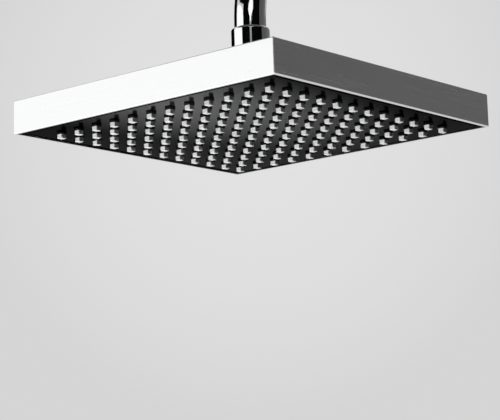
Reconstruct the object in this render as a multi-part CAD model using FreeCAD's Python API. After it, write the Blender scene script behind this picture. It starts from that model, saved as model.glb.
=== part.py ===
import FreeCAD, Part
import math
import os

# A square overhead shower: a flat head with a grid of soft nozzles hangs from a ball joint at the end of
# a bent wall arm. Lengths are in millimetres and angles in degrees. The origin is where the arm's axis
# meets the wall, +Y points into the wall and +Z points up.

# Head shell
HEAD_SIDE = 250.0
HEAD_HEIGHT = 25.0
SHELL_WALL = 2.0
SHELL_TOP = 2.0
SHELL_EDGE_ROUND = 0.8
SHELL_HOLE_CLEARANCE = 0.4

# Face plate
PLATE_RECESS = 0.6
PLATE_EDGE_GAP = 0.8
PLATE_THICKNESS = 2.5
PLATE_STEP_WIDTH = 4.0
PLATE_STEP_DEPTH = 1.0
COLLAR_WALL = 0.4
COLLAR_HEIGHT = 1.4
COLLAR_BEVEL = 0.6

# Nozzles and their mat
NOZZLE_ROWS = 12
NOZZLE_MARGIN = 25.0
NOZZLE_REACH = 3.85
NOZZLE_ROOT_SIDE = 4.8
NOZZLE_TIP_SIDE = 4.6
NOZZLE_BEVEL = 0.2
NOZZLE_INLET_RADIUS = 1.7
NOZZLE_ORIFICE_RADIUS = 0.8
NOZZLE_ORIFICE_LENGTH = 1.5
NOZZLE_CLEARANCE = 0.05
MAT_THICKNESS = 1.8
MAT_EDGE_INSET = 0.6

# Water tray above the mat
TRAY_FLANGE_WIDTH = 9.0
TRAY_FLANGE_THICKNESS = 3.0
TRAY_WALL = 2.5
TRAY_CEILING = 2.0
TRAY_THREAD_WALL = 3.5
TRAY_THREAD_DROP = 3.0
SPACER_HEIGHT = 3.0
SPACER_RADIUS = 8.0
SPACER_OFFSET = 70.0
COLLAR_GASKET_THICKNESS = 1.0

# Cord seal between tray and mat
SEAL_INSET = 1.2
SEAL_WIDTH = 1.6
SEAL_DEPTH = 1.2
SEAL_CLEARANCE = 0.05

# Screws that hold the tray, the mat and the face plate together
SCREWS_PER_SIDE = 4
SCREW_PITCH = 60.0
SCREW_RADIUS = 1.45
SCREW_HEAD_RADIUS = 2.8
SCREW_HEAD_HEIGHT = 2.0
SCREW_SLOT_RADIUS = 1.3
SCREW_SLOT_DEPTH = 1.1
SCREW_CLEARANCE = 0.1
SCREW_FLOOR = 1.8
SCREW_BOSS_WALL = 1.5
SCREW_BOSS_CLEARANCE = 0.15

# Disc that spreads the water under the inlet
DIFFUSER_GAP = 3.0
DIFFUSER_THICKNESS = 2.0
DIFFUSER_POSTS = 4
DIFFUSER_POST_RADIUS = 2.5
DIFFUSER_POST_SPARE = 1.0
DIFFUSER_RIM = 2.0

# Ball joint
BALL_RADIUS = 11.0
TILT_LIMIT = 15.0
RUNNING_GAP = 0.05
SEAT_THICKNESS = 2.4
UPPER_SEAT_START = 50.0
UPPER_SEAT_END = 80.0
SEAT_SPARE_ANGLE = 3.0
LOWER_SEAT_END = 140.0
BALL_RING_RADIUS = 0.9
BALL_RING_ANGLE = 118.0
SEAT_SPRING_HEIGHT = 1.2
SEAT_SPRING_THICKNESS = 0.5
SEAT_SPRING_INSET = 0.4
CUP_WALL = 1.5
CUP_FLOOR = 1.7
NUT_WALL = 2.4
NUT_LIP_ANGLE = 52.0
NUT_LIP_THICKNESS = 1.5
NUT_LIP_FLARE = 0.8
NUT_STEP_GAP = 0.2
NUT_FOOT_GAP = 0.5
NUT_EDGE_ROUND = 0.8
NUT_GROOVES = 20
NUT_GROOVE_RADIUS = 0.9
STEM_SPARE = 1.0

# Inlet socket that screws through the shell into the tray
SOCKET_FLANGE_THICKNESS = 3.0
SOCKET_FLANGE_OVERHANG = 1.5
SOCKET_FLANGE_ROUND = 0.8
SOCKET_WASHER_THICKNESS = 1.5
SOCKET_WASHER_INSET = 0.8
TAIL_WALL = 4.0

# Connector between the ball and the arm
NECK_HEIGHT = 52.7
CONNECTOR_RADIUS = 14.5
CONNECTOR_SHOULDER_ROUND = 2.2
CONNECTOR_FOOT_ROUND = 1.0
CONNECTOR_FLOOR = 2.5
STEM_BORE_RADIUS = 4.0
BALL_FLAT_DROP = 9.5

# G 1/2 threads, drawn as plain cylinders of the thread's outside diameter
THREAD_RADIUS = 10.4775
THREAD_GAP = 0.05
THREAD_CHAMFER = 1.0
OUTLET_THREAD_LENGTH = 10.5
WALL_THREAD_LENGTH = 15.0
NIPPLE_BORE_RADIUS = 7.5
WALL_NIPPLE_INSERT = 20.0

# Washer, filter and flow regulator inside the connector
INLET_WASHER_THICKNESS = 2.0
INLET_WASHER_BORE = 7.0
INLET_WASHER_CLEARANCE = 0.3
FILTER_RADIUS = 8.5
FILTER_THICKNESS = 0.4
FILTER_CLEARANCE = 0.1
FILTER_HOLE = 1.2
FILTER_BAR = 0.6
REGULATOR_RADIUS = 6.9
REGULATOR_HEIGHT = 4.0
REGULATOR_CLEARANCE = 0.1
REGULATOR_HOLES = 6
REGULATOR_HOLE_RADIUS = 0.8
REGULATOR_RING_RADIUS = 1.0
REGULATOR_RING_PATH = 4.4
REGULATOR_RING_GAP = 0.05

# Wall arm
ARM_REACH = 350.0
ARM_BEND_RADIUS = 125.0
ARM_RADIUS = 12.0
ARM_WALL = 1.8
ARM_STUB = 3.0
BRAZE_GAP = 0.05

# Cover flange that slides along the arm
FLANGE_RADIUS = 30.0
FLANGE_DEPTH = 14.0
FLANGE_RIM = 4.0
FLANGE_FRONT_RADIUS = 19.0
FLANGE_WALL = 1.8
FLANGE_EDGE_ROUND = 1.0
FLANGE_BORE_CLEARANCE = 0.3
FLANGE_HUB_WALL = 4.0
FLANGE_HUB_LENGTH = 9.0
GRIP_RING_RADIUS = 1.25
GRIP_RING_GAP = 0.08
GRIP_GROOVE_CLEARANCE = 0.05

# Heights, from the arm's axis down to the nozzle tips
CONNECTOR_TOP = -(ARM_BEND_RADIUS + ARM_STUB)
HEAD_TOP = CONNECTOR_TOP - NECK_HEIGHT
RIM_PLANE = HEAD_TOP - HEAD_HEIGHT
PLATE_FACE = RIM_PLANE + PLATE_RECESS
PLATE_BACK = PLATE_FACE + PLATE_THICKNESS
MAT_BACK = PLATE_BACK + MAT_THICKNESS
SHELL_UNDERSIDE = HEAD_TOP - SHELL_TOP
TRAY_TOP = SHELL_UNDERSIDE - SPACER_HEIGHT
CHAMBER_CEILING = TRAY_TOP - TRAY_CEILING
TRAY_THREAD_FOOT = CHAMBER_CEILING - TRAY_THREAD_DROP
NOZZLE_TIP = RIM_PLANE - NOZZLE_REACH

# Widths inside the head
PLATE_SIDE = HEAD_SIDE - 2 * (SHELL_WALL + PLATE_EDGE_GAP)
MAT_SIDE = PLATE_SIDE - 2 * MAT_EDGE_INSET
CHAMBER_SIDE = MAT_SIDE - 2 * (TRAY_FLANGE_WIDTH + TRAY_WALL)
NOZZLE_PITCH = (HEAD_SIDE - 2 * NOZZLE_MARGIN) / (NOZZLE_ROWS - 1)
NOZZLE_HOLE_SIDE = NOZZLE_ROOT_SIDE + 2 * NOZZLE_CLEARANCE
COLLAR_SIDE = NOZZLE_HOLE_SIDE + 2 * COLLAR_WALL
SCREW_LINE = (MAT_SIDE - TRAY_FLANGE_WIDTH) / 2
SCREW_HOLE_RADIUS = SCREW_RADIUS + SCREW_CLEARANCE
SCREW_BOSS_RADIUS = SCREW_HOLE_RADIUS + SCREW_BOSS_WALL
SCREW_BITE = MAT_THICKNESS + PLATE_THICKNESS - SCREW_FLOOR

# Radii and heights of the ball joint
BALL_SEAT_RADIUS = BALL_RADIUS + RUNNING_GAP
SEAT_OUTER_RADIUS = BALL_SEAT_RADIUS + SEAT_THICKNESS
CUP_INNER_RADIUS = SEAT_OUTER_RADIUS + RUNNING_GAP
CUP_OUTER_RADIUS = CUP_INNER_RADIUS + CUP_WALL
NUT_BORE_RADIUS = CUP_OUTER_RADIUS + THREAD_GAP
NUT_OUTER_RADIUS = NUT_BORE_RADIUS + NUT_WALL
NUT_OPENING_RADIUS = CUP_INNER_RADIUS * math.sin(math.radians(NUT_LIP_ANGLE))
NUT_LIP_RISE = CUP_INNER_RADIUS * math.cos(math.radians(NUT_LIP_ANGLE)) + NUT_LIP_THICKNESS
STEM_SWING = NUT_LIP_RISE * math.tan(math.radians(TILT_LIMIT)) + STEM_SPARE
STEM_RADIUS = (NUT_OPENING_RADIUS - STEM_SWING) * math.cos(math.radians(TILT_LIMIT))
LOWER_SEAT_START = UPPER_SEAT_END + TILT_LIMIT + SEAT_SPARE_ANGLE
LOWER_SEAT_RISE = SEAT_OUTER_RADIUS * math.cos(math.radians(LOWER_SEAT_START))
LOWER_SEAT_FOOT = BALL_SEAT_RADIUS * math.cos(math.radians(LOWER_SEAT_END))
SOCKET_BORE_RADIUS = BALL_SEAT_RADIUS * math.sin(math.radians(LOWER_SEAT_END))
TAIL_RADIUS = SOCKET_BORE_RADIUS + TAIL_WALL
SHELL_HOLE_RADIUS = TAIL_RADIUS + SHELL_HOLE_CLEARANCE
SOCKET_FLANGE_RADIUS = NUT_OUTER_RADIUS + SOCKET_FLANGE_OVERHANG
SOCKET_FLANGE_FOOT = HEAD_TOP + SOCKET_WASHER_THICKNESS
SOCKET_FLANGE_TOP = SOCKET_FLANGE_FOOT + SOCKET_FLANGE_THICKNESS
CUP_FLOOR_TOP = SOCKET_FLANGE_TOP + CUP_FLOOR
BALL_CENTRE = CUP_FLOOR_TOP + SEAT_SPRING_HEIGHT - LOWER_SEAT_FOOT
NUT_FOOT = SOCKET_FLANGE_TOP + NUT_FOOT_GAP
NUT_TOP = BALL_CENTRE + NUT_LIP_RISE
TRAY_THREAD_RADIUS = TAIL_RADIUS + THREAD_GAP
TRAY_COLLAR_RADIUS = TRAY_THREAD_RADIUS + TRAY_THREAD_WALL

# Heights inside the connector
CONNECTOR_BORE_RADIUS = THREAD_RADIUS + THREAD_GAP
WASHER_SEAT = CONNECTOR_TOP - OUTLET_THREAD_LENGTH - INLET_WASHER_THICKNESS
FILTER_SEAT = WASHER_SEAT - FILTER_THICKNESS
REGULATOR_SEAT = FILTER_SEAT - REGULATOR_HEIGHT
CONNECTOR_FOOT = REGULATOR_SEAT - CONNECTOR_FLOOR

# Arm
ARM_BORE_RADIUS = ARM_RADIUS - ARM_WALL
ARM_STRAIGHT = ARM_REACH - ARM_BEND_RADIUS
NIPPLE_INSERT_RADIUS = ARM_BORE_RADIUS - BRAZE_GAP
FLANGE_BORE_RADIUS = ARM_RADIUS + FLANGE_BORE_CLEARANCE
GRIP_RING_PATH = ARM_RADIUS + GRIP_RING_GAP + GRIP_RING_RADIUS
GRIP_RING_Y = FLANGE_HUB_LENGTH / 2 - FLANGE_DEPTH

DOWN = FreeCAD.Vector(0, 0, -1)
UP = FreeCAD.Vector(0, 0, 1)
TO_WALL = FreeCAD.Vector(0, 1, 0)
ACROSS = FreeCAD.Vector(1, 0, 0)


def head_point(x, y, z):
    """A point given from the head's vertical axis."""
    return FreeCAD.Vector(x, y - ARM_REACH, z)


def head_cylinder(radius, low, high, x=0.0, y=0.0):
    """An upright cylinder between two heights, placed from the head's axis."""
    return Part.makeCylinder(radius, high - low, head_point(x, y, low), UP)


def head_ring(inner, outer, low, high):
    """An upright ring around the head's axis."""
    return head_cylinder(outer, low, high).cut(head_cylinder(inner, low, high))


def head_box(side, low, high):
    """A square block centred on the head's axis."""
    corner = head_point(-side / 2, -side / 2, low)
    return Part.makeBox(side, side, high - low, corner)


def rounded(solid, radius, wanted):
    """Rounds the edges that the test picks."""
    edges = [edge for edge in solid.Edges if wanted(edge)]
    return solid.makeFillet(radius, edges)


def circle_edge(radius, height):
    """A test for a level circular edge of one radius at one height."""

    def wanted(edge):
        if not isinstance(edge.Curve, Part.Circle):
            return False
        right_radius = abs(edge.Curve.Radius - radius) < 1e-6
        right_height = abs(edge.Curve.Center.z - height) < 1e-6
        return right_radius and right_height

    return wanted


def bevelled(solid, width, wanted):
    """Bevels the edges that the test picks."""
    edges = [edge for edge in solid.Edges if wanted(edge)]
    return solid.makeChamfer(width, edges)


def upright(edge):
    """Tells whether an edge runs upwards."""
    box = edge.BoundBox
    return box.ZLength > box.XLength + box.YLength


def ball_point(radius, angle):
    """A point of the ball joint's section, with the angle measured from straight up."""
    across = radius * math.sin(math.radians(angle))
    rise = radius * math.cos(math.radians(angle))
    return head_point(across, 0, BALL_CENTRE + rise)


def ball_arc(radius, start, end):
    """An arc around the ball's centre in the section plane."""
    middle = ball_point(radius, (start + end) / 2)
    return Part.Arc(ball_point(radius, start), middle, ball_point(radius, end)).toShape()


def turned(edges):
    """A solid of revolution around the head's axis from the edges of its closed half section."""
    section = Part.Face(Part.Wire(edges))
    return section.revolve(head_point(0, 0, 0), UP, 360)


def line(start, end):
    """A straight edge."""
    return Part.LineSegment(start, end).toShape()


def polygon(points):
    """The edges of a closed outline."""
    pairs = zip(points, points[1:] + points[:1])
    return [line(start, end) for start, end in pairs]


def ball_ring(path_radius, path_height, section_radius):
    """A round-section ring around the head's axis."""
    return Part.makeTorus(path_radius, section_radius, head_point(0, 0, path_height), UP)


def grid_places():
    """The nozzle centres, from the head's axis."""
    first = -NOZZLE_PITCH * (NOZZLE_ROWS - 1) / 2
    steps = [first + NOZZLE_PITCH * index for index in range(NOZZLE_ROWS)]
    return [(x, y) for x in steps for y in steps]


def screw_places():
    """The screw centres along the tray's flange, from the head's axis."""
    first = -SCREW_PITCH * (SCREWS_PER_SIDE - 1) / 2
    steps = [first + SCREW_PITCH * index for index in range(SCREWS_PER_SIDE)]
    places = []
    for step in steps:
        places.append((step, -SCREW_LINE))
        places.append((step, SCREW_LINE))
        places.append((-SCREW_LINE, step))
        places.append((SCREW_LINE, step))
    return places


def copies(solid, places):
    """Copies of a solid that was made on the head's axis."""
    moved = []
    for x, y in places:
        copy = solid.copy()
        copy.translate(FreeCAD.Vector(x, y, 0))
        moved.append(copy)
    return moved


def spread(count, radius):
    """Places evenly spread on a circle around the head's axis."""
    turns = [2 * math.pi * index / count for index in range(count)]
    return [(radius * math.cos(turn), radius * math.sin(turn)) for turn in turns]


def make_shell():
    """The open-bottomed square box with softly broken edges."""
    box = head_box(HEAD_SIDE, RIM_PLANE, HEAD_TOP)
    box = box.makeFillet(SHELL_EDGE_ROUND, box.Edges)
    hollow = head_box(HEAD_SIDE - 2 * SHELL_WALL, RIM_PLANE - SHELL_EDGE_ROUND, SHELL_UNDERSIDE)
    hole = head_cylinder(SHELL_HOLE_RADIUS, SHELL_UNDERSIDE, HEAD_TOP)
    return box.cut(hollow).cut(hole)


def make_face_plate():
    """The dark plate with a stepped edge, a collar round each nozzle hole and screw bosses on its back."""
    border = head_box(PLATE_SIDE, PLATE_FACE + PLATE_STEP_DEPTH, PLATE_BACK)
    field = head_box(PLATE_SIDE - 2 * PLATE_STEP_WIDTH, PLATE_FACE, PLATE_BACK)
    plate = border.fuse(field)
    collar_foot = PLATE_FACE - COLLAR_HEIGHT
    collar = bevelled(head_box(COLLAR_SIDE, collar_foot, PLATE_FACE), COLLAR_BEVEL, upright)
    boss = head_cylinder(SCREW_BOSS_RADIUS, PLATE_BACK, MAT_BACK)
    plate = plate.multiFuse(copies(collar, grid_places()) + copies(boss, screw_places()))
    hole = head_box(NOZZLE_HOLE_SIDE, collar_foot, PLATE_BACK)
    pilot = head_cylinder(SCREW_RADIUS + RUNNING_GAP, MAT_BACK - SCREW_BITE, MAT_BACK)
    cuts = copies(hole, grid_places()) + copies(pilot, screw_places())
    return plate.cut(Part.makeCompound(cuts))


def nozzle_body():
    """The outside of one square nozzle, which narrows to its tip and has bevelled edges."""
    root = NOZZLE_ROOT_SIDE / 2
    tip = NOZZLE_TIP_SIDE / 2
    body = Part.makeWedge(-tip, NOZZLE_TIP, -tip, -root, -root, tip, PLATE_BACK, tip, root, root)
    body.rotate(FreeCAD.Vector(0, 0, 0), ACROSS, 90)
    body.translate(head_point(0, 0, 0))
    return bevelled(body, NOZZLE_BEVEL, lambda edge: edge.BoundBox.ZMin < PLATE_FACE)


def nozzle_bore():
    """The water way of one nozzle: a tapered inlet and a short straight orifice."""
    throat = NOZZLE_TIP + NOZZLE_ORIFICE_LENGTH
    start = head_point(0, 0, MAT_BACK)
    taper = Part.makeCone(NOZZLE_INLET_RADIUS, NOZZLE_ORIFICE_RADIUS, MAT_BACK - throat, start, DOWN)
    orifice = head_cylinder(NOZZLE_ORIFICE_RADIUS, NOZZLE_TIP, throat)
    return taper.fuse(orifice)


def make_nozzle_mat():
    """The soft sheet with all its hollow nozzles in one piece."""
    sheet = head_box(MAT_SIDE, PLATE_BACK, MAT_BACK)
    boss_hole = head_cylinder(SCREW_BOSS_RADIUS + SCREW_BOSS_CLEARANCE, PLATE_BACK, MAT_BACK)
    sheet = sheet.cut(Part.makeCompound(copies(boss_hole, screw_places())))
    mat = sheet.multiFuse(copies(nozzle_body(), grid_places()))
    return mat.cut(Part.makeCompound(copies(nozzle_bore(), grid_places())))


def make_seal_loop(clearance):
    """The square cord loop, or with a clearance the groove that it lies in."""
    inner = CHAMBER_SIDE + 2 * (SEAL_INSET - clearance)
    outer = CHAMBER_SIDE + 2 * (SEAL_INSET + SEAL_WIDTH + clearance)
    top = MAT_BACK + SEAL_DEPTH + clearance
    return head_box(outer, MAT_BACK, top).cut(head_box(inner, MAT_BACK, top))


def make_water_tray():
    """The water chamber: a flanged tray turned upside down, with a threaded collar in the middle."""
    flange = head_box(MAT_SIDE, MAT_BACK, MAT_BACK + TRAY_FLANGE_THICKNESS)
    body = head_box(CHAMBER_SIDE + 2 * TRAY_WALL, MAT_BACK, TRAY_TOP)
    hollow = head_box(CHAMBER_SIDE, MAT_BACK, CHAMBER_CEILING)
    collar_top = SHELL_UNDERSIDE - COLLAR_GASKET_THICKNESS
    collar = head_cylinder(TRAY_COLLAR_RADIUS, TRAY_THREAD_FOOT, collar_top)
    thread = head_cylinder(TRAY_THREAD_RADIUS, TRAY_THREAD_FOOT, collar_top)
    tray = flange.fuse(body).cut(hollow).fuse(collar).cut(thread)
    tray = tray.cut(make_seal_loop(SEAL_CLEARANCE))
    screw_hole = head_cylinder(SCREW_HOLE_RADIUS, MAT_BACK, MAT_BACK + TRAY_FLANGE_THICKNESS)
    return tray.cut(Part.makeCompound(copies(screw_hole, screw_places())))


def make_tray_screws():
    """The pan-head screws, all of one pattern."""
    seat = MAT_BACK + TRAY_FLANGE_THICKNESS
    top = seat + SCREW_HEAD_HEIGHT
    tip = MAT_BACK - SCREW_BITE + RUNNING_GAP
    head = rounded(
        head_cylinder(SCREW_HEAD_RADIUS, seat, top),
        SCREW_HEAD_HEIGHT / 2,
        circle_edge(SCREW_HEAD_RADIUS, top),
    )
    recess = head_cylinder(SCREW_SLOT_RADIUS, top - SCREW_SLOT_DEPTH, top)
    screw = head.fuse(head_cylinder(SCREW_RADIUS, tip, seat)).cut(recess)
    return Part.makeCompound(copies(screw, screw_places()))


def make_shell_spacers():
    """Soft pads between the tray and the shell."""
    pad = head_cylinder(SPACER_RADIUS, TRAY_TOP, SHELL_UNDERSIDE)
    steps = (-SPACER_OFFSET, 0.0, SPACER_OFFSET)
    places = [(x, y) for x in steps for y in steps if x or y]
    return Part.makeCompound(copies(pad, places))


def make_collar_gasket():
    """The flat gasket between the tray's collar and the shell."""
    low = SHELL_UNDERSIDE - COLLAR_GASKET_THICKNESS
    return head_ring(SHELL_HOLE_RADIUS, TRAY_COLLAR_RADIUS, low, SHELL_UNDERSIDE)


def make_diffuser_disc():
    """The disc on posts that spreads the water under the inlet."""
    post_path = TRAY_COLLAR_RADIUS + DIFFUSER_POST_RADIUS + DIFFUSER_POST_SPARE
    disc_top = TRAY_THREAD_FOOT - DIFFUSER_GAP
    disc_radius = post_path + DIFFUSER_POST_RADIUS + DIFFUSER_RIM
    disc = head_cylinder(disc_radius, disc_top - DIFFUSER_THICKNESS, disc_top)
    post = head_cylinder(DIFFUSER_POST_RADIUS, disc_top, CHAMBER_CEILING)
    return disc.multiFuse(copies(post, spread(DIFFUSER_POSTS, post_path)))


def make_inlet_socket():
    """The brass socket: a cup for the ball's seat, a flange on the shell and a threaded tail."""
    cup = head_cylinder(CUP_OUTER_RADIUS, SOCKET_FLANGE_TOP, BALL_CENTRE)
    flange = rounded(
        head_cylinder(SOCKET_FLANGE_RADIUS, SOCKET_FLANGE_FOOT, SOCKET_FLANGE_TOP),
        SOCKET_FLANGE_ROUND,
        circle_edge(SOCKET_FLANGE_RADIUS, SOCKET_FLANGE_TOP),
    )
    tail = head_cylinder(TAIL_RADIUS, TRAY_THREAD_FOOT, SOCKET_FLANGE_FOOT)
    pocket = head_cylinder(CUP_INNER_RADIUS, CUP_FLOOR_TOP, BALL_CENTRE)
    bore = head_cylinder(SOCKET_BORE_RADIUS, TRAY_THREAD_FOOT, CUP_FLOOR_TOP)
    return flange.fuse(cup).fuse(tail).cut(pocket).cut(bore)


def make_socket_washer():
    """The flat washer under the socket's flange."""
    outer = SOCKET_FLANGE_RADIUS - SOCKET_WASHER_INSET
    return head_ring(SHELL_HOLE_RADIUS, outer, HEAD_TOP, SOCKET_FLANGE_FOOT)


def make_seat_spring():
    """The conical spring washer that presses the lower seat against the ball."""
    inner = SOCKET_BORE_RADIUS + SEAT_SPRING_INSET
    outer = CUP_INNER_RADIUS - SEAT_SPRING_INSET
    low = CUP_FLOOR_TOP
    high = CUP_FLOOR_TOP + SEAT_SPRING_HEIGHT
    points = [
        head_point(outer, 0, low),
        head_point(outer, 0, low + SEAT_SPRING_THICKNESS),
        head_point(inner, 0, high),
        head_point(inner, 0, high - SEAT_SPRING_THICKNESS),
    ]
    return turned(polygon(points))


def ball_ring_place():
    """Path radius and height of the round ring that seals against the ball."""
    distance = BALL_RADIUS + RUNNING_GAP / 2 + BALL_RING_RADIUS
    across = distance * math.sin(math.radians(BALL_RING_ANGLE))
    rise = distance * math.cos(math.radians(BALL_RING_ANGLE))
    return across, BALL_CENTRE + rise


def make_ball_o_ring():
    """The round sealing ring in the lower seat."""
    across, height = ball_ring_place()
    return ball_ring(across, height, BALL_RING_RADIUS)


def make_lower_seat_ring():
    """The lower seat: a cylinder hollowed to the ball, with a groove for the sealing ring."""
    low = BALL_CENTRE + LOWER_SEAT_FOOT
    high = BALL_CENTRE + LOWER_SEAT_RISE
    block = head_cylinder(SEAT_OUTER_RADIUS, low, high)
    ball_space = Part.makeSphere(BALL_SEAT_RADIUS, head_point(0, 0, BALL_CENTRE))
    across, height = ball_ring_place()
    groove = ball_ring(across, height, BALL_RING_RADIUS + RUNNING_GAP)
    return block.cut(ball_space).cut(groove)


def make_upper_seat_ring():
    """The upper seat: a zone of a hollow sphere between the ball and the nut."""
    inner = ball_arc(BALL_SEAT_RADIUS, UPPER_SEAT_START, UPPER_SEAT_END)
    outer = ball_arc(SEAT_OUTER_RADIUS, UPPER_SEAT_END, UPPER_SEAT_START)
    foot = line(ball_point(BALL_SEAT_RADIUS, UPPER_SEAT_END), ball_point(SEAT_OUTER_RADIUS, UPPER_SEAT_END))
    top = line(ball_point(SEAT_OUTER_RADIUS, UPPER_SEAT_START), ball_point(BALL_SEAT_RADIUS, UPPER_SEAT_START))
    return turned([inner, foot, outer, top])


def make_retaining_nut():
    """The round nut that holds the ball, with grip grooves around it."""
    body = rounded(
        head_cylinder(NUT_OUTER_RADIUS, NUT_FOOT, NUT_TOP),
        NUT_EDGE_ROUND,
        circle_edge(NUT_OUTER_RADIUS, NUT_TOP),
    )
    step = BALL_CENTRE + NUT_STEP_GAP
    thread = head_cylinder(NUT_BORE_RADIUS, NUT_FOOT, step)
    seat = Part.makeSphere(CUP_INNER_RADIUS, head_point(0, 0, BALL_CENTRE))
    lip = NUT_TOP - NUT_LIP_THICKNESS
    flare_radius = NUT_OPENING_RADIUS + NUT_LIP_FLARE
    start = head_point(0, 0, lip)
    flare = Part.makeCone(NUT_OPENING_RADIUS, flare_radius, NUT_LIP_THICKNESS, start, UP)
    nut = body.cut(thread).cut(seat).cut(flare)
    groove = head_cylinder(NUT_GROOVE_RADIUS, NUT_FOOT, NUT_TOP - NUT_LIP_THICKNESS)
    groove_path = NUT_OUTER_RADIUS + NUT_GROOVE_RADIUS / 2
    return nut.cut(Part.makeCompound(copies(groove, spread(NUT_GROOVES, groove_path))))


def make_ball_connector():
    """The turned connector: a threaded socket above, a stem and the ball below."""
    body = head_cylinder(CONNECTOR_RADIUS, CONNECTOR_FOOT, CONNECTOR_TOP)
    body = rounded(body, CONNECTOR_SHOULDER_ROUND, circle_edge(CONNECTOR_RADIUS, CONNECTOR_TOP))
    body = rounded(body, CONNECTOR_FOOT_ROUND, circle_edge(CONNECTOR_RADIUS, CONNECTOR_FOOT))
    ball = Part.makeSphere(BALL_RADIUS, head_point(0, 0, BALL_CENTRE))
    ball_flat = BALL_CENTRE - BALL_FLAT_DROP
    ball = ball.cut(head_cylinder(BALL_RADIUS, BALL_CENTRE - BALL_RADIUS, ball_flat))
    stem = head_cylinder(STEM_RADIUS, BALL_CENTRE, CONNECTOR_FOOT)
    thread = head_cylinder(CONNECTOR_BORE_RADIUS, WASHER_SEAT, CONNECTOR_TOP)
    filter_step = head_cylinder(FILTER_RADIUS + FILTER_CLEARANCE, FILTER_SEAT, WASHER_SEAT)
    pocket = head_cylinder(REGULATOR_RADIUS + REGULATOR_CLEARANCE, REGULATOR_SEAT, FILTER_SEAT)
    bore = head_cylinder(STEM_BORE_RADIUS, ball_flat, REGULATOR_SEAT)
    connector = body.fuse(stem).fuse(ball)
    return connector.cut(thread).cut(filter_step).cut(pocket).cut(bore)


def make_inlet_washer():
    """The rubber washer between the arm's thread and the connector."""
    outer = CONNECTOR_BORE_RADIUS - INLET_WASHER_CLEARANCE
    return head_ring(INLET_WASHER_BORE, outer, WASHER_SEAT, WASHER_SEAT + INLET_WASHER_THICKNESS)


def make_filter_screen():
    """The round screen with square holes under the washer."""
    pitch = FILTER_HOLE + FILTER_BAR
    reach = INLET_WASHER_BORE - FILTER_BAR
    count = int(reach // pitch)
    steps = [pitch * index for index in range(-count, count + 1)]
    corner = (math.sqrt(2) / 2) * FILTER_HOLE
    places = [(x, y) for x in steps for y in steps if math.hypot(x, y) + corner <= reach]
    hole = head_box(FILTER_HOLE, FILTER_SEAT, WASHER_SEAT)
    disc = head_cylinder(FILTER_RADIUS, FILTER_SEAT, WASHER_SEAT)
    return disc.cut(Part.makeCompound(copies(hole, places)))


def make_flow_regulator():
    """The regulator disc with a ring groove on top and holes under the groove."""
    body = head_cylinder(REGULATOR_RADIUS, REGULATOR_SEAT, FILTER_SEAT)
    groove_radius = REGULATOR_RING_RADIUS + REGULATOR_RING_GAP
    groove_depth = 2 * groove_radius
    groove = head_ring(
        REGULATOR_RING_PATH - groove_radius,
        REGULATOR_RING_PATH + groove_radius,
        FILTER_SEAT - groove_depth,
        FILTER_SEAT,
    )
    hole_path = STEM_BORE_RADIUS - REGULATOR_HOLE_RADIUS
    hole = head_cylinder(REGULATOR_HOLE_RADIUS, REGULATOR_SEAT, FILTER_SEAT)
    holes = copies(hole, spread(REGULATOR_HOLES, hole_path))
    return body.cut(groove).cut(Part.makeCompound(holes))


def make_regulator_ring():
    """The soft ring that lies in the regulator's groove."""
    height = FILTER_SEAT - REGULATOR_RING_RADIUS - REGULATOR_RING_GAP
    return ball_ring(REGULATOR_RING_PATH, height, REGULATOR_RING_RADIUS)


def make_outlet_nipple():
    """The threaded end of the arm above the head."""
    end = CONNECTOR_TOP - OUTLET_THREAD_LENGTH
    thread = head_cylinder(THREAD_RADIUS, end, CONNECTOR_TOP)
    insert = head_cylinder(NIPPLE_INSERT_RADIUS, CONNECTOR_TOP, CONNECTOR_TOP + ARM_STUB)
    edges = [edge for edge in thread.Edges if circle_edge(THREAD_RADIUS, end)(edge)]
    thread = thread.makeChamfer(THREAD_CHAMFER, edges)
    bore = head_cylinder(NIPPLE_BORE_RADIUS, end, CONNECTOR_TOP + ARM_STUB)
    return thread.fuse(insert).cut(bore)


def arm_cylinder(radius, start, end):
    """A level cylinder on the arm's axis between two distances from the wall plane."""
    return Part.makeCylinder(radius, end - start, FreeCAD.Vector(0, start, 0), TO_WALL)


def make_wall_nipple():
    """The threaded end of the arm that screws into the wall."""
    thread = arm_cylinder(THREAD_RADIUS, 0, WALL_THREAD_LENGTH)
    edges = [
        edge
        for edge in thread.Edges
        if isinstance(edge.Curve, Part.Circle) and edge.Curve.Center.y > WALL_THREAD_LENGTH / 2
    ]
    thread = thread.makeChamfer(THREAD_CHAMFER, edges)
    insert = arm_cylinder(NIPPLE_INSERT_RADIUS, -WALL_NIPPLE_INSERT, 0)
    bore = arm_cylinder(NIPPLE_BORE_RADIUS, -WALL_NIPPLE_INSERT, WALL_THREAD_LENGTH)
    return thread.fuse(insert).cut(bore)


def arm_run(radius):
    """The arm's path as a solid rod: level run, quarter bend and short drop."""
    start = FreeCAD.Vector(0, -ARM_STRAIGHT, 0)
    level = Part.makeCylinder(radius, ARM_STRAIGHT, start, TO_WALL)
    section = Part.Face(Part.Wire(Part.makeCircle(radius, start, TO_WALL)))
    bend_centre = FreeCAD.Vector(0, -ARM_STRAIGHT, -ARM_BEND_RADIUS)
    bend = section.revolve(bend_centre, ACROSS, 90)
    drop = head_cylinder(radius, CONNECTOR_TOP, -ARM_BEND_RADIUS)
    return level.fuse(bend).fuse(drop).removeSplitter()


def make_arm_tube():
    """The bent tube."""
    return arm_run(ARM_RADIUS).cut(arm_run(ARM_BORE_RADIUS))


def flange_form(radius, front_radius, depth, rim):
    """A shallow cone on a straight rim, open towards the wall when hollowed."""
    base = arm_cylinder(radius, -rim, 0)
    start = FreeCAD.Vector(0, -rim, 0)
    cone = Part.makeCone(radius, front_radius, depth - rim, start, FreeCAD.Vector(0, -1, 0))
    return base.fuse(cone).removeSplitter()


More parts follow.
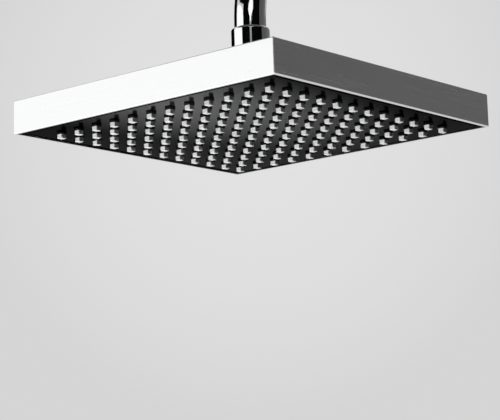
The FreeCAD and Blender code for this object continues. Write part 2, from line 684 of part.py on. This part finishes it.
def make_wall_flange():
    """The dished cover with a hub that guides it on the arm."""
    form = flange_form(FLANGE_RADIUS, FLANGE_FRONT_RADIUS, FLANGE_DEPTH, FLANGE_RIM)
    outer_edges = [
        edge
        for edge in form.Edges
        if isinstance(edge.Curve, Part.Circle) and edge.Curve.Center.y < -FLANGE_RIM / 2
    ]
    form = form.makeFillet(FLANGE_EDGE_ROUND, outer_edges)
    hollow = flange_form(
        FLANGE_RADIUS - FLANGE_WALL,
        FLANGE_FRONT_RADIUS - FLANGE_WALL,
        FLANGE_DEPTH - FLANGE_WALL,
        FLANGE_RIM,
    )
    hub = arm_cylinder(
        FLANGE_BORE_RADIUS + FLANGE_HUB_WALL,
        -FLANGE_DEPTH + FLANGE_WALL,
        -FLANGE_DEPTH + FLANGE_HUB_LENGTH,
    )
    bore = arm_cylinder(FLANGE_BORE_RADIUS, -FLANGE_DEPTH, 0)
    groove = Part.makeTorus(
        GRIP_RING_PATH,
        GRIP_RING_RADIUS + GRIP_GROOVE_CLEARANCE,
        FreeCAD.Vector(0, GRIP_RING_Y, 0),
        TO_WALL,
    )
    return form.cut(hollow).fuse(hub).cut(bore).cut(groove)


def make_flange_grip_ring():
    """The soft ring that keeps the cover flange where it is pushed."""
    return Part.makeTorus(GRIP_RING_PATH, GRIP_RING_RADIUS, FreeCAD.Vector(0, GRIP_RING_Y, 0), TO_WALL)


NODES = {
    "arm_tube": make_arm_tube,
    "wall_nipple": make_wall_nipple,
    "outlet_nipple": make_outlet_nipple,
    "ball_connector": make_ball_connector,
    "inlet_washer": make_inlet_washer,
    "filter_screen": make_filter_screen,
    "flow_regulator": make_flow_regulator,
    "regulator_ring": make_regulator_ring,
    "wall_flange": make_wall_flange,
    "flange_grip_ring": make_flange_grip_ring,
    "upper_seat_ring": make_upper_seat_ring,
    "lower_seat_ring": make_lower_seat_ring,
    "ball_o_ring": make_ball_o_ring,
    "retaining_nut": make_retaining_nut,
    "seat_spring": make_seat_spring,
    "inlet_socket": make_inlet_socket,
    "socket_washer": make_socket_washer,
    "shell": make_shell,
    "collar_gasket": make_collar_gasket,
    "water_tray": make_water_tray,
    "diffuser_disc": make_diffuser_disc,
    "nozzle_mat": make_nozzle_mat,
    "face_plate": make_face_plate,
    "tray_screws": make_tray_screws,
    "shell_spacers": make_shell_spacers,
}


def main():
    """Builds every piece and writes one file for each."""
    os.makedirs("parts", exist_ok=True)
    for name, make in NODES.items():
        make().exportStep("parts/" + name + ".step")
    make_seal_loop(0).exportStep("parts/perimeter_seal.step")


main()
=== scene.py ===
import math
from typing import NamedTuple

import bpy
from mathutils import Matrix, Vector


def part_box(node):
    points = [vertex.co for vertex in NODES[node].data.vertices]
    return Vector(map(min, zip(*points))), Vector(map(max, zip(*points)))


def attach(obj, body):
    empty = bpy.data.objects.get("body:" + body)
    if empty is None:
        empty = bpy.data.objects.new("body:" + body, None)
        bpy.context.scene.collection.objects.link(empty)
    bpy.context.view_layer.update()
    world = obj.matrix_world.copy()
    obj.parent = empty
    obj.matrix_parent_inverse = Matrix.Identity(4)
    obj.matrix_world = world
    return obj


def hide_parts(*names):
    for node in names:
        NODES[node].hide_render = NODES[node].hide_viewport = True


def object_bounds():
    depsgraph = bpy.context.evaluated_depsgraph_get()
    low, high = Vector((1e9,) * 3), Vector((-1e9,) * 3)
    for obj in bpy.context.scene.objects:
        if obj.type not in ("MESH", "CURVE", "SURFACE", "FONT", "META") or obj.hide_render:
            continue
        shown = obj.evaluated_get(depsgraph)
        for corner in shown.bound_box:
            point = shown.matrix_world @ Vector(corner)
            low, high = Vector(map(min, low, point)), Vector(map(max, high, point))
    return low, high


# Everything is in metres, in the same frame as the solids: the arm meets the wall at the origin, +Y points
# into the wall and +Z points up.

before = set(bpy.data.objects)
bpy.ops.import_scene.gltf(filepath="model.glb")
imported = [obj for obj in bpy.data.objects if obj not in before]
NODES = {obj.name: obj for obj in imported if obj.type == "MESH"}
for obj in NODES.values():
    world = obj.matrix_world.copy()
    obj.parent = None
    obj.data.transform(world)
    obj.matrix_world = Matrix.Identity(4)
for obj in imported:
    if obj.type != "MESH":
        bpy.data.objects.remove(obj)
cad_low, cad_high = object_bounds()


class Finish(NamedTuple):
    """A plain finish, by its two tones, the range of its roughness and the nodes that have it."""

    tones: tuple
    roughness: tuple
    nodes: tuple
    metallic: float = 0.0
    ior: float = 1.5


class Light(NamedTuple):
    """A soft light, by its place around the head, its size and the brightness of its face.

    A mirrored light shows only in glossy surfaces. Any other light reaches only plain ones.
    """

    name: str
    turn: float
    rise: float
    distance: float
    width: float
    height: float
    brightness: float
    shape: str = "RECTANGLE"
    mirrored: bool = True


class Card(NamedTuple):
    """A curved card, by its turns and rises around the head and its colour."""

    name: str
    turns: tuple
    rises: tuple
    colour: tuple


WHOLE_RANGE = (0.0, 1.0)

# Where the head is
SHELL_LOW, SHELL_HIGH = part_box("shell")
HEAD_CENTRE = (SHELL_LOW + SHELL_HIGH) / 2
RIM_CENTRE = Vector((HEAD_CENTRE.x, HEAD_CENTRE.y, SHELL_LOW.z))

# Camera, found from the corners of the head in the photograph
CAMERA_FROM_RIM = Vector((0.866675, -1.024733, -0.283992))
CAMERA_YAW = math.radians(40.4185)
CAMERA_PITCH = math.radians(9.4979)
CAMERA_ROLL = math.radians(-1.8441)
CAMERA_NEAR = 0.01
CAMERA_FAR = 100.0
SENSOR_WIDTH = 36.0
IMAGE_WIDTH = 500.0
FOCAL_PIXELS = 1850.985

# Noise, most of which lies within this range
NOISE_RANGE = (0.3, 0.7)
CLOUD_DETAIL = 3.0

# Polished chrome
CHROME_NODES = ("arm_tube", "ball_connector", "wall_flange", "retaining_nut")
CHROME_TONES = ((0.86, 0.87, 0.88), (0.90, 0.90, 0.91))
CHROME_ROUGHNESS = (0.035, 0.06)
CHROME_CLOUD_SCALE = 35.0

# Brushed shell
SHELL_TONES = ((0.87, 0.875, 0.88), (0.91, 0.91, 0.915))
SHELL_ROUGHNESS = (0.19, 0.28)
SIDE_STRETCH = (0.02, 0.02, 1.0)
FLAT_STRETCH = (0.02, 1.0, 1.0)
STREAK_SCALE = 700.0
STREAK_DETAIL = 4.0

# Face plate, with a painted sheen: a painted reflection that is strongest at one point and fades away from
# it
PLATE_COLOUR = (0.050, 0.051, 0.052)
PLATE_ROUGHNESS = (0.10, 0.14)
PLATE_CLOUD_SCALE = 40.0
PAINTED_SHEEN = (0.67, 0.255)
PAINTED_SHEEN_CENTRE = RIM_CENTRE + Vector((0.028, -0.115, 0.0))
PAINTED_SHEEN_STRETCH = Vector((1.0, 0.45, 1.0))
PAINTED_SHEEN_FADE = 0.117

# Low collars of the plate, one round each nozzle, whose lower part is painted black as the shade round each
# nozzle's root
COLLAR_SHADE_COLOUR = (0.006, 0.006, 0.006)
COLLAR_HEIGHT = 0.0014
COLLAR_SHADE_SHARE = 0.9
COLLAR_ADDED_ROUGHNESS = 0.4

# Plain finishes
GRAIN_SCALE = 120.0
GRAIN_DETAIL = 4.0
GRAIN_RELIEF = 0.05
GRAIN_DEPTH = 0.0001
FINISHES = {
    "pale_silicone": Finish(
        tones=((0.78, 0.79, 0.79), (0.86, 0.87, 0.87)),
        roughness=(0.5, 0.6),
        nodes=("nozzle_mat",),
        ior=1.4,
    ),
    "brass": Finish(
        tones=((0.70, 0.50, 0.22), (0.76, 0.57, 0.28)),
        roughness=(0.22, 0.32),
        nodes=("outlet_nipple", "inlet_socket"),
        metallic=1.0,
    ),
    "steel": Finish(
        tones=((0.55, 0.55, 0.56), (0.62, 0.62, 0.63)),
        roughness=(0.25, 0.35),
        nodes=("filter_screen", "seat_spring", "tray_screws"),
        metallic=1.0,
    ),
    "black_rubber": Finish(
        tones=((0.018, 0.018, 0.019), (0.032, 0.032, 0.033)),
        roughness=(0.6, 0.75),
        nodes=(
            "inlet_washer",
            "regulator_ring",
            "flange_grip_ring",
            "ball_o_ring",
            "socket_washer",
            "collar_gasket",
            "perimeter_seal",
            "shell_spacers",
        ),
    ),
    "white_plastic": Finish(
        tones=((0.76, 0.76, 0.74), (0.82, 0.82, 0.80)),
        roughness=(0.35, 0.45),
        nodes=("flow_regulator", "upper_seat_ring", "lower_seat_ring", "diffuser_disc"),
    ),
    "grey_plastic": Finish(
        tones=((0.20, 0.21, 0.22), (0.25, 0.26, 0.27)),
        roughness=(0.4, 0.5),
        nodes=("water_tray",),
    ),
}

# Wall nipple with its G 1/2 thread, which runs along +Y from the end of the tube
THREAD_RADIUS = 0.0104775
THREAD_PITCH = 0.001814
THREAD_DEPTH = 0.001162
THREAD_LENGTH = 0.015
THREAD_CHAMFER = 0.001
NIPPLE_BORE_RADIUS = 0.0075
NIPPLE_INSERT_RADIUS = 0.01015
NIPPLE_INSERT_LENGTH = 0.02
STEPS_AROUND = 96
STEPS_PER_PITCH = 10
SHARP_ANGLE = math.radians(40.0)

# Floor and room
FLOOR_DROP = 1.9
FLOOR_SIZE = 60.0
FLOOR_COLOUR = (0.72, 0.72, 0.72)
FLOOR_ROUGHNESS = 0.9
FLOOR_SHOWN_COLOUR = (0.82, 0.82, 0.82)
FLOOR_SHOWN_SHARE = 0.8
ROOM_EDGE_COLOUR = (0.665, 0.665, 0.665)
ROOM_CENTRE_COLOUR = (0.76, 0.76, 0.76)
ROOM_GLOW_ANGLE = math.radians(9.0)
ROOM_FILL = 0.02

# Lights around the head, with angles in degrees: turns start at the camera and go to its right, and rises
# start level
LIGHTS = (
    Light("key", turn=-80, rise=-6, distance=1.9, width=2.2, height=2.4, brightness=0.45),
    Light("low_key", turn=-80, rise=-52, distance=1.6, width=1.9, height=1.6, brightness=1.0),
    Light("lamp", turn=5, rise=24.7, distance=2.9, width=1.6, height=0.44, brightness=1.1, shape="ELLIPSE"),
    Light("strip", turn=3, rise=19.5, distance=3.0, width=0.5, height=0.26, brightness=1.0),
    Light("low_strip", turn=2, rise=12.6, distance=3.1, width=0.55, height=0.55, brightness=0.3),
    Light("side", turn=-72, rise=-48, distance=1.4, width=0.8, height=0.8, brightness=12.8, mirrored=False),
)

# Cards around the head, with turns and rises as for the lights
CARD_RADIUS = 3.4
CARD_STEP = 6.0
BLACK_CARD = (0.002, 0.002, 0.002)
TOP_CARD = (0.09, 0.09, 0.09)
RIGHT_FRONT_CARD = (0.09, 0.09, 0.09)
RIGHT_CARD = (0.111, 0.111, 0.111)
RIGHT_BACK_CARD = (0.153, 0.153, 0.153)
CARDS = (
    Card("front_card", turns=(-50, 72), rises=(10, 34), colour=BLACK_CARD),
    Card("front_top_card", turns=(-50, 72), rises=(34, 50), colour=TOP_CARD),
    Card("over_key_card", turns=(-89, -50), rises=(27, 50), colour=BLACK_CARD),
    Card("top_card", turns=(-180, 180), rises=(50, 89), colour=TOP_CARD),
    Card("right_front_card", turns=(72, 96), rises=(2, 50), colour=RIGHT_FRONT_CARD),
    Card("right_card", turns=(96, 120), rises=(2, 50), colour=RIGHT_CARD),
    Card("right_back_card", turns=(120, 165), rises=(2, 36), colour=RIGHT_BACK_CARD),
    Card("left_back_card", turns=(-165, -111), rises=(12, 32), colour=BLACK_CARD),
)


def make_camera():
    """Puts the camera at the photograph's viewpoint."""
    right = Vector((math.cos(CAMERA_YAW), math.sin(CAMERA_YAW), 0.0))
    forward = Vector(
        (
            -math.sin(CAMERA_YAW) * math.cos(CAMERA_PITCH),
            math.cos(CAMERA_YAW) * math.cos(CAMERA_PITCH),
            math.sin(CAMERA_PITCH),
        )
    )
    up = right.cross(forward)
    rolled_right = right * math.cos(CAMERA_ROLL) + up * math.sin(CAMERA_ROLL)
    rolled_up = up * math.cos(CAMERA_ROLL) - right * math.sin(CAMERA_ROLL)
    data = bpy.data.cameras.new("photo_camera")
    data.sensor_width = SENSOR_WIDTH
    data.lens = SENSOR_WIDTH * FOCAL_PIXELS / IMAGE_WIDTH
    data.clip_start = CAMERA_NEAR
    data.clip_end = CAMERA_FAR
    camera = bpy.data.objects.new("photo_camera", data)
    bpy.context.scene.collection.objects.link(camera)
    turn = Matrix((rolled_right, rolled_up, -forward)).transposed()
    camera.matrix_world = Matrix.Translation(RIM_CENTRE + CAMERA_FROM_RIM) @ turn.to_4x4()
    bpy.context.scene.camera = camera


def new_material(name):
    """An empty material with its node tree and main shader."""
    material = bpy.data.materials.new(name)
    material.use_nodes = True
    tree = material.node_tree
    return material, tree, tree.nodes["Principled BSDF"]


def opaque(colour):
    """A colour as the nodes take it."""
    return (*colour, 1.0)


def coordinates(tree, kind):
    """Texture coordinates of one kind."""
    return tree.nodes.new("ShaderNodeTexCoord").outputs[kind]


def object_coordinates(tree, stretch=(1.0, 1.0, 1.0)):
    """Coordinates that stay with the object, stretched along its axes."""
    node = tree.nodes.new("ShaderNodeMapping")
    node.inputs["Scale"].default_value = stretch
    tree.links.new(coordinates(tree, "Object"), node.inputs["Vector"])
    return node.outputs["Vector"]


def upward_part(tree, vector):
    """The Z part of a vector."""
    node = tree.nodes.new("ShaderNodeSeparateXYZ")
    tree.links.new(vector, node.inputs["Vector"])
    return node.outputs["Z"]


def measure(tree, operation, vector, fixed):
    """A number found from a vector and a fixed one, such as their distance."""
    node = tree.nodes.new("ShaderNodeVectorMath")
    node.operation = operation
    tree.links.new(vector, node.inputs[0])
    node.inputs[1].default_value = fixed
    return node.outputs["Value"]


def calculate(tree, operation, *values):
    """A number worked out from plain numbers and other nodes' values."""
    node = tree.nodes.new("ShaderNodeMath")
    node.operation = operation
    for socket, value in zip(node.inputs, values):
        if isinstance(value, bpy.types.NodeSocket):
            tree.links.new(value, socket)
        else:
            socket.default_value = value
    return node.outputs["Value"]


def map_range(tree, value, source, target, kind="LINEAR"):
    """Maps a value from one range to another."""
    node = tree.nodes.new("ShaderNodeMapRange")
    node.interpolation_type = kind
    node.inputs["From Min"].default_value = source[0]
    node.inputs["From Max"].default_value = source[1]
    node.inputs["To Min"].default_value = target[0]
    node.inputs["To Max"].default_value = target[1]
    tree.links.new(value, node.inputs["Value"])
    return node.outputs["Result"]


def noise(tree, vector, scale, detail=CLOUD_DETAIL):
    """A noise value."""
    node = tree.nodes.new("ShaderNodeTexNoise")
    node.inputs["Scale"].default_value = scale
    node.inputs["Detail"].default_value = detail
    tree.links.new(vector, node.inputs["Vector"])
    return node.outputs["Fac"]


def blend_values(tree, share, first, second):
    """A value between two values."""
    node = tree.nodes.new("ShaderNodeMix")
    tree.links.new(share, node.inputs["Factor"])
    tree.links.new(first, node.inputs["A"])
    tree.links.new(second, node.inputs["B"])
    return node.outputs["Result"]


def blend_colours(tree, share, first, second):
    """A colour between two colours."""
    node = tree.nodes.new("ShaderNodeMix")
    node.data_type = "RGBA"
    node.inputs["A"].default_value = opaque(first)
    node.inputs["B"].default_value = opaque(second)
    tree.links.new(share, node.inputs["Factor"])
    return node.outputs["Result"]


def vary(tree, shader, value, tones, roughness):
    """Lets the colour and the roughness follow a noise value."""
    tone = blend_colours(tree, map_range(tree, value, NOISE_RANGE, WHOLE_RANGE), *tones)
    tree.links.new(tone, shader.inputs["Base Color"])
    tree.links.new(map_range(tree, value, NOISE_RANGE, roughness), shader.inputs["Roughness"])


def add_relief(tree, shader, value):
    """A fine relief on the surface."""
    node = tree.nodes.new("ShaderNodeBump")
    node.inputs["Strength"].default_value = GRAIN_RELIEF
    node.inputs["Distance"].default_value = GRAIN_DEPTH
    tree.links.new(value, node.inputs["Height"])
    tree.links.new(node.outputs["Normal"], shader.inputs["Normal"])


def chrome_material():
    """Polished chrome with faint cloudiness."""
    material, tree, shader = new_material("chrome")
    clouds = noise(tree, object_coordinates(tree), CHROME_CLOUD_SCALE)
    vary(tree, shader, clouds, CHROME_TONES, CHROME_ROUGHNESS)
    shader.inputs["Metallic"].default_value = 1.0
    return material


def brushed_streaks(tree):
    """Streaks that run level round the sides, and along X on the top and the rim."""
    sides = noise(tree, object_coordinates(tree, SIDE_STRETCH), STREAK_SCALE, STREAK_DETAIL)
    flats = noise(tree, object_coordinates(tree, FLAT_STRETCH), STREAK_SCALE, STREAK_DETAIL)
    flatness = calculate(tree, "ABSOLUTE", upward_part(tree, coordinates(tree, "Normal")))
    return blend_values(tree, flatness, sides, flats)


def shell_material():
    """Brushed chrome."""
    material, tree, shader = new_material("shell_chrome")
    vary(tree, shader, brushed_streaks(tree), SHELL_TONES, SHELL_ROUGHNESS)
    shader.inputs["Metallic"].default_value = 1.0
    return material


def plate_material():
    """Dark glossy plate with a painted sheen, a painted reflection that fades, and collars painted black as
    the shade round each nozzle's root.
    """
    material, tree, shader = new_material("dark_plate")
    low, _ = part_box("face_plate")
    paint_top = low.z + COLLAR_HEIGHT * COLLAR_SHADE_SHARE
    # Painted shade: the lower part of each collar is painted matt black
    painted_shade_collar = calculate(tree, "LESS_THAN", upward_part(tree, object_coordinates(tree)), paint_top)
    # Painted reflection: the sheen is painted into the specular tint, strongest at one point and fading
    # away from it
    painted_sheen_centre = PAINTED_SHEEN_CENTRE * PAINTED_SHEEN_STRETCH
    away = measure(tree, "DISTANCE", object_coordinates(tree, PAINTED_SHEEN_STRETCH), painted_sheen_centre)
    painted_sheen = map_range(tree, away, (0.0, PAINTED_SHEEN_FADE), PAINTED_SHEEN, "SMOOTHSTEP")
    tree.links.new(painted_sheen, shader.inputs["Specular Tint"])
    tone = blend_colours(tree, painted_shade_collar, PLATE_COLOUR, COLLAR_SHADE_COLOUR)
    tree.links.new(tone, shader.inputs["Base Color"])
    clouds = noise(tree, object_coordinates(tree), PLATE_CLOUD_SCALE)
    gloss = map_range(tree, clouds, NOISE_RANGE, PLATE_ROUGHNESS)
    roughness = calculate(tree, "MULTIPLY_ADD", painted_shade_collar, COLLAR_ADDED_ROUGHNESS, gloss)
    tree.links.new(roughness, shader.inputs["Roughness"])
    tree.links.new(calculate(tree, "SUBTRACT", 1.0, painted_shade_collar), shader.inputs["Metallic"])
    return material


def plain_material(name, finish):
    """A surface with fine mottling and grain."""
    material, tree, shader = new_material(name)
    grain = noise(tree, object_coordinates(tree), GRAIN_SCALE, GRAIN_DETAIL)
    vary(tree, shader, grain, finish.tones, finish.roughness)
    add_relief(tree, shader, grain)
    shader.inputs["Metallic"].default_value = finish.metallic
    shader.inputs["IOR"].default_value = finish.ior
    return material


def thread_radius(along, angle):
    """How far the thread's surface is from its axis."""
    phase = along / THREAD_PITCH - angle / (2 * math.pi)
    groove = (1 - math.cos(2 * math.pi * phase)) / 2
    cone = THREAD_RADIUS - THREAD_CHAMFER + THREAD_LENGTH - along
    return min(THREAD_RADIUS - THREAD_DEPTH * groove, cone)


def nipple_rings():
    """The nipple's outline from the inner end of its bore, as rings of a place and of radii around it."""
    angles = [2 * math.pi * index / STEPS_AROUND for index in range(STEPS_AROUND)]
    rings = [
        (-NIPPLE_INSERT_LENGTH, [NIPPLE_BORE_RADIUS] * STEPS_AROUND),
        (-NIPPLE_INSERT_LENGTH, [NIPPLE_INSERT_RADIUS] * STEPS_AROUND),
        (0.0, [NIPPLE_INSERT_RADIUS] * STEPS_AROUND),
    ]
    count = round(THREAD_LENGTH / THREAD_PITCH * STEPS_PER_PITCH)
    for index in range(count + 1):
        along = THREAD_LENGTH * index / count
        rings.append((along, [thread_radius(along, angle) for angle in angles]))
    rings.append((THREAD_LENGTH, [NIPPLE_BORE_RADIUS] * STEPS_AROUND))
    return angles, rings


def make_wall_nipple(brass):
    """The brass nipple with a true spiral thread."""
    angles, rings = nipple_rings()
    verts = []
    for along, radii in rings:
        for angle, radius in zip(angles, radii):
            verts.append((radius * math.cos(angle), along, radius * math.sin(angle)))
    faces = []
    for row in range(len(rings)):
        start = row * STEPS_AROUND
        after = (row + 1) % len(rings) * STEPS_AROUND
        for step in range(STEPS_AROUND):
            beside = (step + 1) % STEPS_AROUND
            faces.append((start + step, after + step, after + beside, start + beside))
    mesh = bpy.data.meshes.new("threaded_nipple")
    mesh.from_pydata(verts, [], faces)
    mesh.shade_smooth()
    mesh.set_sharp_from_angle(angle=SHARP_ANGLE)
    mesh.materials.append(brass)
    piece = bpy.data.objects.new("threaded_nipple", mesh)
    bpy.context.scene.collection.objects.link(piece)
    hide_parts("wall_nipple")
    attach(piece, "arm")


def dress(material, names):
    """Gives a material to nodes."""
    for name in names:
        slots = NODES[name].data.materials
        slots.clear()
        slots.append(material)


def make_materials():
    """Dresses every node, and makes the threaded nipple."""
    dress(chrome_material(), CHROME_NODES)
    dress(shell_material(), ["shell"])
    dress(plate_material(), ["face_plate"])
    plain = {}
    for name, finish in FINISHES.items():
        plain[name] = plain_material(name, finish)
        dress(plain[name], finish.nodes)
    make_wall_nipple(plain["brass"])


def add_stage(name, verts, faces):
    """A piece of the studio, with the node tree and main shader of its own material."""
    mesh = bpy.data.meshes.new(name)
    mesh.from_pydata(verts, [], faces)
    piece = bpy.data.objects.new(name, mesh)
    bpy.context.scene.collection.objects.link(piece)
    material, tree, shader = new_material(name)
    mesh.materials.append(material)
    return piece, tree, shader


def seen_directly(tree):
    """One for what the camera sees directly, in a mirror or through glass."""
    path = tree.nodes.new("ShaderNodeLightPath").outputs
    either = calculate(tree, "MAXIMUM", path["Is Camera Ray"], path["Is Glossy Ray"])
    return calculate(tree, "MAXIMUM", either, path["Is Transmission Ray"])


def make_floor():
    """The pale floor far below the shower."""
    level = cad_low.z - FLOOR_DROP
    half = FLOOR_SIZE / 2
    corners = [(-half, -half, level), (half, -half, level), (half, half, level), (-half, half, level)]
    _, tree, shader = add_stage("floor", corners, [(0, 1, 2, 3)])
    shader.inputs["Base Color"].default_value = opaque(FLOOR_COLOUR)
    shader.inputs["Roughness"].default_value = FLOOR_ROUGHNESS
    shader.inputs["Specular IOR Level"].default_value = 0.0
    pale = tree.nodes.new("ShaderNodeEmission")
    pale.inputs["Color"].default_value = opaque(FLOOR_SHOWN_COLOUR)
    both = tree.nodes.new("ShaderNodeMixShader")
    share = calculate(tree, "MULTIPLY", seen_directly(tree), FLOOR_SHOWN_SHARE)
    tree.links.new(share, both.inputs["Fac"])
    tree.links.new(shader.outputs["BSDF"], both.inputs[1])
    tree.links.new(pale.outputs["Emission"], both.inputs[2])
    tree.links.new(both.outputs["Shader"], tree.nodes["Material Output"].inputs["Surface"])


def around(turn, rise, distance):
    """A point around the head, by its turn to the camera's right, its rise above level and its distance."""
    toward_camera = Vector((CAMERA_FROM_RIM.x, CAMERA_FROM_RIM.y, 0.0)).normalized()
    level = Matrix.Rotation(math.radians(turn), 3, "Z") @ toward_camera
    lift = Vector((0.0, 0.0, math.sin(math.radians(rise))))
    return RIM_CENTRE + distance * (level * math.cos(math.radians(rise)) + lift)


def add_light(light):
    """A soft light that faces the head."""
    data = bpy.data.lights.new(light.name, "AREA")
    data.shape = light.shape
    data.size = light.width
    data.size_y = light.height
    area = light.width * light.height
    if light.shape == "ELLIPSE":
        area *= math.pi / 4
    data.energy = light.brightness * math.pi * area
    lamp = bpy.data.objects.new(light.name, data)
    lamp.location = around(light.turn, light.rise, light.distance)
    lamp.rotation_euler = (RIM_CENTRE - lamp.location).to_track_quat("-Z", "Y").to_euler()
    lamp.visible_camera = False
    lamp.visible_diffuse = not light.mirrored
    lamp.visible_glossy = light.mirrored
    bpy.context.scene.collection.objects.link(lamp)


def steps_between(start, end):
    """Angles from start to end in even steps."""
    count = max(1, round((end - start) / CARD_STEP))
    return [start + (end - start) * index / count for index in range(count + 1)]


def add_card(card):
    """A curved card that shapes the reflections and stays out of the picture."""
    columns = steps_between(*card.turns)
    rows = steps_between(*card.rises)
    verts = [around(turn, rise, CARD_RADIUS) for turn in columns for rise in rows]
    faces = []
    for column in range(len(columns) - 1):
        for row in range(len(rows) - 1):
            first = column * len(rows) + row
            second = first + len(rows)
            faces.append((first, second, second + 1, first + 1))
    piece, tree, _ = add_stage(card.name, verts, faces)
    piece.visible_camera = False
    glow = tree.nodes.new("ShaderNodeEmission")
    glow.inputs["Color"].default_value = opaque(card.colour)
    tree.links.new(seen_directly(tree), glow.inputs["Strength"])
    tree.links.new(glow.outputs["Emission"], tree.nodes["Material Output"].inputs["Surface"])


def make_studio():
    """The floor, the lights and the cards."""
    make_floor()
    for light in LIGHTS:
        add_light(light)
    for card in CARDS:
        add_card(card)


def make_world():
    """A pale room all around, a little brighter behind the head."""
    world = bpy.data.worlds.new("studio")
    world.use_nodes = True
    tree = world.node_tree
    behind = -CAMERA_FROM_RIM.normalized()
    nearness = measure(tree, "DOT_PRODUCT", coordinates(tree, "Generated"), behind)
    glow = map_range(tree, nearness, (math.cos(ROOM_GLOW_ANGLE), 1.0), WHOLE_RANGE)
    tone = blend_colours(tree, glow, ROOM_EDGE_COLOUR, ROOM_CENTRE_COLOUR)
    strength = map_range(tree, seen_directly(tree), WHOLE_RANGE, (ROOM_FILL, 1.0))
    background = tree.nodes["Background"]
    tree.links.new(tone, background.inputs["Color"])
    tree.links.new(strength, background.inputs["Strength"])
    bpy.context.scene.world = world


bpy.context.scene.view_settings.view_transform = "Standard"
make_camera()
make_materials()
make_studio()
make_world()
